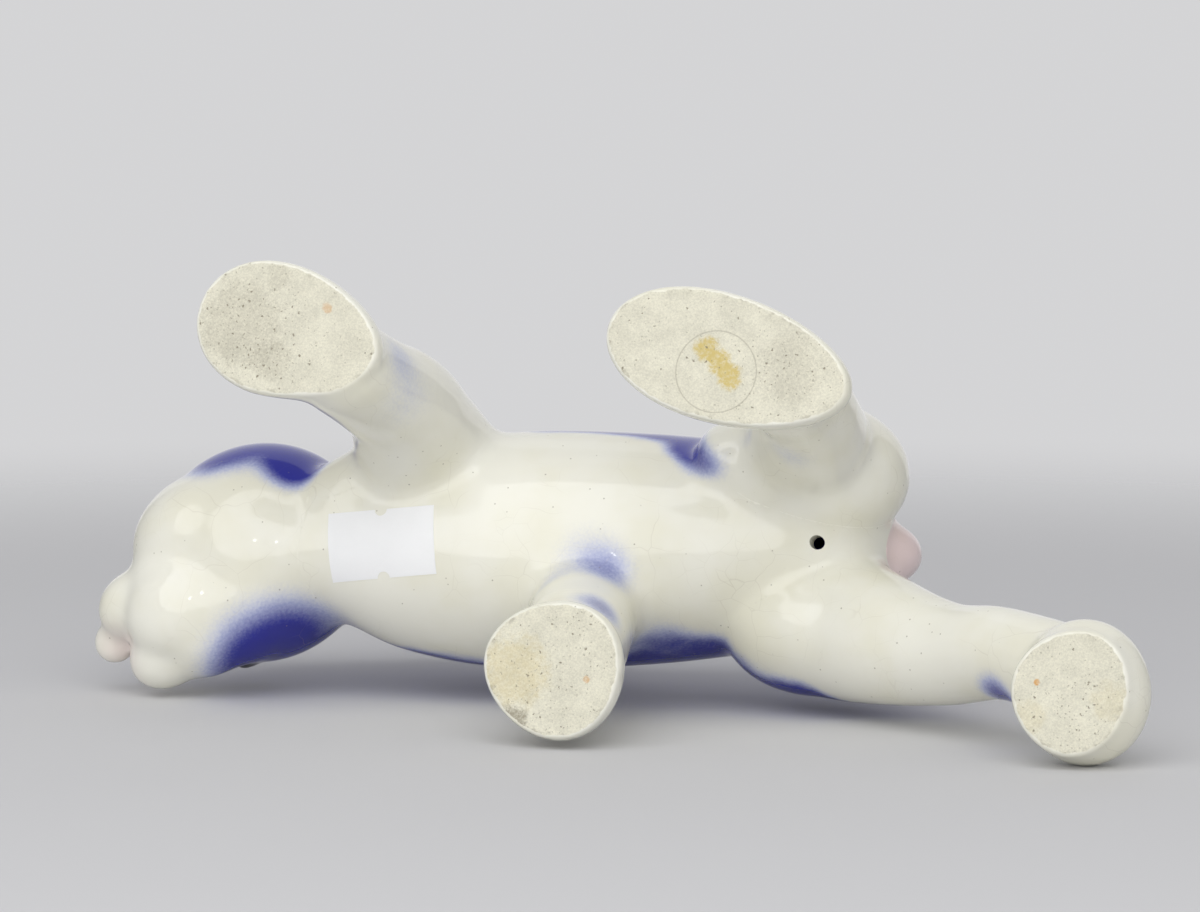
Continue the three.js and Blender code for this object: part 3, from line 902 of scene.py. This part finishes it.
class Finish:
    """The nodes of one material."""

    def __init__(self, name):
        self.material = bpy.data.materials.new(name)
        self.material.use_nodes = True
        self.tree = self.material.node_tree
        self.tree.nodes.clear()

    def node(self, kind, settings=None, inputs=None, output=0):
        """Adds a node, sets it, links its inputs and gives one of its outputs."""
        node = self.tree.nodes.new(kind)
        for name, value in (settings or {}).items():
            setattr(node, name, value)
        for key, value in (inputs or {}).items():
            socket = node.inputs[key]
            if isinstance(value, Wire):
                self.tree.links.new(value.socket, socket)
            else:
                socket.default_value = (*value, 1) if socket.type == "RGBA" else value
        return Wire(self, node.outputs[output]) if node.outputs else node

    def ease(self, value, low, high):
        """0 below low, 1 above high and a soft step between."""
        settings = {"interpolation_type": "SMOOTHSTEP"}
        return self.node("ShaderNodeMapRange", settings, {0: value, 1: low, 2: high})

    def mix(self, share, first, second):
        """A colour between two."""
        return self.node("ShaderNodeMix", {"data_type": "RGBA"}, {0: share, 6: first, 7: second}, 2)

    def noise(self, place, pattern, output=0):
        """One of the noise patterns, as a value or, from the output Color, as a colour."""
        scale, detail, roughness = PATTERNS[pattern]
        return self.node("ShaderNodeTexNoise", {}, {
            "Vector": place, "Scale": scale, "Detail": detail, "Roughness": roughness}, output)

    def cells(self, place, scale, feature, output=0):
        """A pattern of cells, with so many in a millimetre."""
        inputs = {"Vector": place, "Scale": scale}
        return self.node("ShaderNodeTexVoronoi", {"feature": feature}, inputs, output)

    def shift(self, place, step):
        """A place moved by a step."""
        return self.node("ShaderNodeVectorMath", {"operation": "ADD"}, {0: place, 1: step})

    def away(self, place, middle):
        """How far a place is from a middle."""
        return self.node("ShaderNodeVectorMath", {"operation": "DISTANCE"}, {0: place, 1: middle}, 1)

    def near(self, place, middle, reach, core=0):
        """1 within the core of a place, fading to 0 at its reach."""
        return self.ease(self.away(place, middle), reach, core)

    def bump(self, height, distance, strength=1):
        """A surface that rises with a height, by a distance in metres."""
        inputs = {"Height": height, "Strength": strength, "Distance": distance}
        return self.node("ShaderNodeBump", {}, inputs, "Normal")

    def body_place(self):
        """The place on the object in the body's own millimetres."""
        place = self.node("ShaderNodeTexCoord", output="Object")
        return self.node("ShaderNodeMapping", {}, {
            "Vector": place, "Location": -ORIGIN / MM, "Scale": [1 / MM] * 3})

    def split(self, place, axis):
        """One part of a place or of a colour."""
        return self.node("ShaderNodeSeparateXYZ", {}, {0: place}, axis)

    def surface(self, **inputs):
        """Ends the material in one surface shader."""
        shader = self.node("ShaderNodeBsdfPrincipled", {}, {
            name.replace("_", " ").title().replace("Ior", "IOR"): value for name, value in inputs.items()})
        self.node("ShaderNodeOutputMaterial", {}, {0: shader})
        return self.material


def shade(tone, share):
    """A colour made lighter or darker."""
    return [share * part for part in tone]


def airbrush_and_shade(finish, place):
    """How much cobalt lies on a place: over the head and back, and thinly round the roots of the legs,
    where part of it is painted shade.
    """
    on_right = finish.ease(finish.split(place, 1), *RIGHT_SIDE)
    right_flank = on_right * finish.ease(finish.split(place, 0), *BEHIND_NECK)
    height = finish.split(place, 2) + right_flank * RIGHT_DROP
    drift = (finish.noise(place, "blue_drift") - NOISE_MIDDLE) * BLUE_DRIFT
    cloud = BLUE_LEAST + BLUE_CLOUD * finish.noise(place, "blue_cloud")
    cover = finish.ease(height + drift, BLUE_FROM, BLUE_FULL) * cloud
    for middle, reach, strength in SPRAYS_AND_SHADE:
        cover = cover + finish.near(place, middle, reach) * strength
    grain = (finish.noise(place, "spray_grain") - NOISE_MIDDLE) * SPRAY_GRAIN
    return finish.ease(cover + grain, SPRAY_FROM, 1)


def crackle(finish, place):
    """Fine crazing in wide cells, stronger here and fainter there."""
    drift = finish.noise(place, "crackle_drift", "Color")
    bend = finish.node("ShaderNodeVectorMath", {"operation": "SCALE"}, {0: drift, "Scale": CRACKLE_BEND})
    bent = finish.shift(place, bend)
    wide = finish.ease(finish.cells(bent, 1 / CRACKLE_CELL, "DISTANCE_TO_EDGE"), CRACKLE_LINE, 0)
    fine = finish.ease(finish.cells(bent, 2 / CRACKLE_CELL, "DISTANCE_TO_EDGE"), CRACKLE_LINE * 2, 0)
    wide_patches = finish.ease(finish.noise(place, "wide_crackle"), *WIDE_CRACKLE)
    fine_patches = finish.ease(finish.noise(place, "fine_crackle"), *FINE_CRACKLE)
    return wide * wide_patches + fine * fine_patches * FINE_SHARE


def specks(finish, place, size, scale, share):
    """Pin specks: a dark dot in a share of the cells."""
    distance = finish.cells(place, scale, "F1")
    pick = finish.split(finish.cells(place, scale, "F1", "Color"), 0)
    dot = finish.ease(distance, size * scale, SPECK_CORE * size * scale)
    return dot * finish.ease(pick, 1 - share, 1 - FULL_SPECKS * share)


@cache
def glaze(name):
    """Crackled glaze over white slip with airbrushed cobalt; the soles of the feet are left bare."""
    colours = bpy.context.scene.glaze_colours
    finish = Finish("crackled_" + name)
    place = finish.body_place()

    ground = colours.pink if name == "pink_glaze" else colours.white
    pooled = [share * part for share, part in zip(POOLED, ground)]
    tone = finish.mix(finish.ease(finish.noise(place, "pooling"), *POOLING), ground, pooled)
    if name != "pink_glaze":
        # The blue cover is partly painted shade round the roots of the legs and on the right flank, mixed
        # in as mist and cobalt
        blue = airbrush_and_shade(finish, place)
        tone = finish.mix(finish.ease(blue, *MIST_COVER), tone, colours.mist)
        tone = finish.mix(finish.ease(blue, *COBALT_COVER), tone, colours.cobalt)

    # Pink mouth, dark eyes
    tone = finish.mix(finish.near(place, in_head(MOUTH), MOUTH_REACH) * MOUTH_TINT, tone, colours.pink)
    for eye in EYES:
        tone = finish.mix(finish.near(place, in_head(eye[:3]), *EYE_EDGE), tone, colours.eye)

    lines = crackle(finish, place)
    tone = finish.mix(lines * CRACKLE_STAIN, tone, colours.crackle)
    tone = finish.mix(specks(finish, place, *GLAZE_SPECKS) * GLAZE_SPECK_STAIN, tone, colours.grime)

    # Bare soles
    inset = finish.node("ShaderNodeAttribute", {"attribute_name": RIM}, output="Fac")
    bare = finish.ease(inset - finish.noise(place, "glaze_edge"), 0, GLAZE_END)
    clay, pits = bare_clay(finish, place, inset, colours)
    tone = finish.mix(bare, tone, clay)

    grain = finish.noise(place, "sole_grain") * GRAIN_HEIGHT
    wave = finish.noise(place, "glaze_wave") * WAVE_HEIGHT
    relief = (grain - pits) * bare - lines * CRACKLE_DEPTH + wave - bare * BARE_DEPTH
    return finish.surface(
        base_color=tone,
        roughness=GLAZE_ROUGHNESS + finish.noise(place, "gloss") * GLOSS_CHANGE + bare * BARE_ROUGHNESS,
        ior=GLAZE_IOR,
        normal=finish.bump(relief, RELIEF, RELIEF_STRENGTH),
    )


def bare_clay(finish, place, inset, colours):
    """Fired clay with grain, stains, grit and the ring of an old sticker, and the pits in it."""
    grain = finish.ease(finish.noise(place, "clay_grain"), *CLAY_CONTRAST)
    mottle = finish.ease(finish.noise(place, "clay_mottle"), *CLAY_CONTRAST)
    clay = finish.mix(
        mottle * MOTTLE_SHARE + grain * GRAIN_SHARE,
        shade(colours.clay, CLAY_LIGHT),
        shade(colours.clay, CLAY_DARK),
    )

    patches = (finish.noise(place, "stain_patches") - NOISE_MIDDLE) * STAIN_RAGGED
    worn = WORN_LEAST + (1 - WORN_LEAST) * finish.ease(finish.noise(place, "stain_wear"), *WEAR)
    for middle, reach, strength, name in STAINS:
        stain = finish.ease(finish.near(place, middle, reach) + patches, *STAIN_EDGE)
        clay = finish.mix(stain * worn * strength, clay, getattr(colours, name))

    grit = finish.noise(place, "grit") * GRIT_THIN
    for middle, reach in GRIT:
        grit = grit + finish.near(place, middle, reach) * GRIT_THICK
    ragged = finish.shift(place, finish.noise(place, "grit_shake", "Color"))
    dust = specks(finish, ragged, *DUST, grit * DUST_SHARE)
    pits = specks(finish, ragged, *PITS, grit)
    edge = finish.ease(inset, *GRIME_INSET) * finish.ease(finish.noise(place, "edge_grime"), *GRIME_PATCHES)
    away = finish.away(place, STICKER_PLACE)
    within = finish.ease(away, STICKER_RADIUS + STICKER_LINE, STICKER_RADIUS)
    ring = within * finish.ease(away, STICKER_RADIUS - STICKER_LINE, STICKER_RADIUS)
    dirt = ((dust, DUST_STAIN), (pits, PIT_STAIN), (edge, GRIME_STAIN), (ring, STICKER_STAIN))
    for mark, strength in dirt:
        clay = finish.mix(mark * strength, clay, colours.grime)
    return clay, pits


def slip():
    """Fired slip, hidden in the joints."""
    colours = bpy.context.scene.glaze_colours
    finish = Finish("fired_slip")
    place = finish.body_place()
    tone = finish.mix(finish.noise(place, "slip_tone"), colours.clay, shade(colours.clay, SLIP_DARK))
    bump = finish.bump(finish.noise(place, "slip_grain"), SLIP_RELIEF)
    return finish.surface(base_color=tone, roughness=SLIP_ROUGHNESS, normal=bump)


def paper():
    """Blank label paper."""
    colours = bpy.context.scene.glaze_colours
    finish = Finish("label_paper")
    place = finish.body_place()
    fibres = finish.noise(place, "paper_fibres")
    uneven = fibres * FIBRE_SHARE + finish.noise(place, "paper_tone") * TONE_SHARE
    tone = finish.mix(uneven, colours.paper, shade(colours.paper, PAPER_DARK))
    bump = finish.bump(fibres, PAPER_RELIEF, PAPER_RELIEF_STRENGTH)
    return finish.surface(base_color=tone, roughness=PAPER_ROUGHNESS, normal=bump)


def backdrop_material(name, tone, reach, camera_only):
    """Pale studio floor, seen from its upper side alone and fading out at its edge."""
    finish = Finish(name)
    place = finish.node("ShaderNodeTexCoord", output="Object")
    away = finish.node("ShaderNodeVectorMath", {"operation": "LENGTH"}, {0: place}, 1)
    below = finish.node("ShaderNodeNewGeometry", output="Backfacing")
    seen = finish.ease(away, reach, FLOOR_FADE * reach) * (1 - below)
    if camera_only:
        seen = seen * finish.node("ShaderNodeLightPath", output="Is Camera Ray")
    floor = finish.node("ShaderNodeBsdfPrincipled", {}, {"Base Color": tone, "Roughness": FLOOR_ROUGHNESS})
    clear = finish.node("ShaderNodeBsdfTransparent")
    finish.node("ShaderNodeOutputMaterial", {}, {
        0: finish.node("ShaderNodeMixShader", {}, {0: seen, 1: clear, 2: floor})})
    return finish.material


def add_backdrop(name, middle, turn, reach, material):
    """A flat studio floor."""
    bpy.ops.object.select_all(action="DESELECT")
    bpy.ops.mesh.primitive_plane_add(size=2 * reach, location=middle)
    plane = bpy.context.object
    plane.name = name
    plane.rotation_euler = turn
    plane.data.materials.append(material)
    plane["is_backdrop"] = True


def add_softbox(name, way, distance, size, power, target):
    """A round soft light that faces the figure."""
    bpy.ops.object.select_all(action="DESELECT")
    bpy.ops.object.light_add(type="AREA", location=target + way.normalized() * distance)
    box = bpy.context.object
    box.name = name
    box.rotation_euler = way.to_track_quat("Z", "Y").to_euler()
    box.data.shape = "DISK"
    box.data.size = size
    box.data.energy = power
    box.visible_camera = False


def add_camera(target, right, up, back):
    """The camera at the photograph's place, facing the target."""
    bpy.ops.object.camera_add()
    camera = bpy.context.object
    turn = Matrix((right, up, back)).transposed().to_4x4()
    camera.matrix_world = Matrix.Translation(target + back * VIEW_DISTANCE) @ turn
    camera.data.sensor_width = SENSOR
    camera.data.lens = FOCAL_PIXELS / PHOTO_WIDTH * SENSOR
    bpy.context.scene.camera = camera


def studio_world():
    """Even light all round, and a pale background for the camera."""
    world = bpy.data.worlds.new("studio")
    world.use_nodes = True
    tree = world.node_tree
    tree.nodes.clear()
    light = tree.nodes.new("ShaderNodeBackground")
    light.inputs[0].default_value = (*AMBIENT, 1)
    pale = tree.nodes.new("ShaderNodeBackground")
    pale.inputs[0].default_value = (*BACKGROUND, 1)
    path = tree.nodes.new("ShaderNodeLightPath")
    mix = tree.nodes.new("ShaderNodeMixShader")
    out = tree.nodes.new("ShaderNodeOutputWorld")
    tree.links.new(path.outputs["Is Camera Ray"], mix.inputs[0])
    tree.links.new(light.outputs[0], mix.inputs[1])
    tree.links.new(pale.outputs[0], mix.inputs[2])
    tree.links.new(mix.outputs[0], out.inputs[0])
    return world


class FIGURINE_OT_stage(bpy.types.Operator):
    """Sets up the camera, the pale floors and the soft light"""

    bl_idname = "figurine.stage"
    bl_label = "Stage"

    def execute(self, context):
        floor = context.scene.glaze_colours.floor
        right = Vector((-cos(VIEW_TURN), 0, sin(VIEW_TURN)))
        level = Vector((-sin(VIEW_TURN), 0, -cos(VIEW_TURN)))
        side = Vector((0, 1, 0))
        back = level * cos(VIEW_TILT) - side * sin(VIEW_TILT)
        up = side * cos(VIEW_TILT) + level * sin(VIEW_TILT)
        target = in_body(VIEW_TARGET)
        add_camera(target, right, up, back)

        # The figure lies on its right side, on a table
        table_up = up * cos(TABLE_TILT) + back * sin(TABLE_TILT)
        points = [places_of(piece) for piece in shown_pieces() if piece.type == "MESH"]
        lowest = min(float((part @ np.array(table_up)).min()) for part in points) * MM
        middle = target + table_up * (lowest - (target - ORIGIN).dot(table_up))
        turn = table_up.to_track_quat("Z", "Y").to_euler()
        table = backdrop_material("table", floor, TABLE_REACH, False)
        add_backdrop("table", middle, turn, TABLE_REACH, table)

        # From other sides it is seen on a shelf under its soles
        shelf = backdrop_material("shelf", floor, SHELF_REACH, True)
        add_backdrop("shelf", (0, 0, 0), (0, 0, 0), SHELF_REACH, shelf)

        for name, (across, high, near), distance, size, power in SOFTBOXES:
            way = right * across + table_up * high + back * near
            add_softbox(name, way, distance, size, power, target)
        context.scene.world = studio_world()
        context.scene.view_settings.view_transform = "Standard"
        return {"FINISHED"}


class FIGURINE_PT_panel(bpy.types.Panel):
    bl_idname = "FIGURINE_PT_panel"
    bl_label = "Rabbit figurine"
    bl_space_type = "VIEW_3D"
    bl_region_type = "UI"
    bl_category = "Figurine"

    def draw(self, context):
        for group in (context.scene.figure_sizes, context.scene.glaze_colours):
            box = self.layout.box()
            for name in group.__annotations__:
                box.prop(group, name)
        for kind in STEPS:
            self.layout.operator(kind.bl_idname)


STEPS = (
    FIGURINE_OT_skin, FIGURINE_OT_head, FIGURINE_OT_tail, FIGURINE_OT_torso, FIGURINE_OT_limbs,
    FIGURINE_OT_label, FIGURINE_OT_collars, FIGURINE_OT_stage,
)
CLASSES = (FigureSizes, GlazeColours, *STEPS, FIGURINE_PT_panel)


def register():
    for kind in CLASSES:
        bpy.utils.register_class(kind)
    bpy.types.Scene.figure_sizes = PointerProperty(type=FigureSizes)
    bpy.types.Scene.glaze_colours = PointerProperty(type=GlazeColours)


def unregister():
    del bpy.types.Scene.glaze_colours
    del bpy.types.Scene.figure_sizes
    for kind in reversed(CLASSES):
        bpy.utils.unregister_class(kind)


def main():
    register()
    bpy.ops.figurine.skin()
    bpy.ops.figurine.head()
    bpy.ops.figurine.tail()
    bpy.ops.figurine.torso()
    bpy.ops.figurine.limbs()
    bpy.ops.figurine.label()
    bpy.ops.figurine.collars()
    bpy.ops.figurine.stage()


if __name__ == "__main__":
    main()
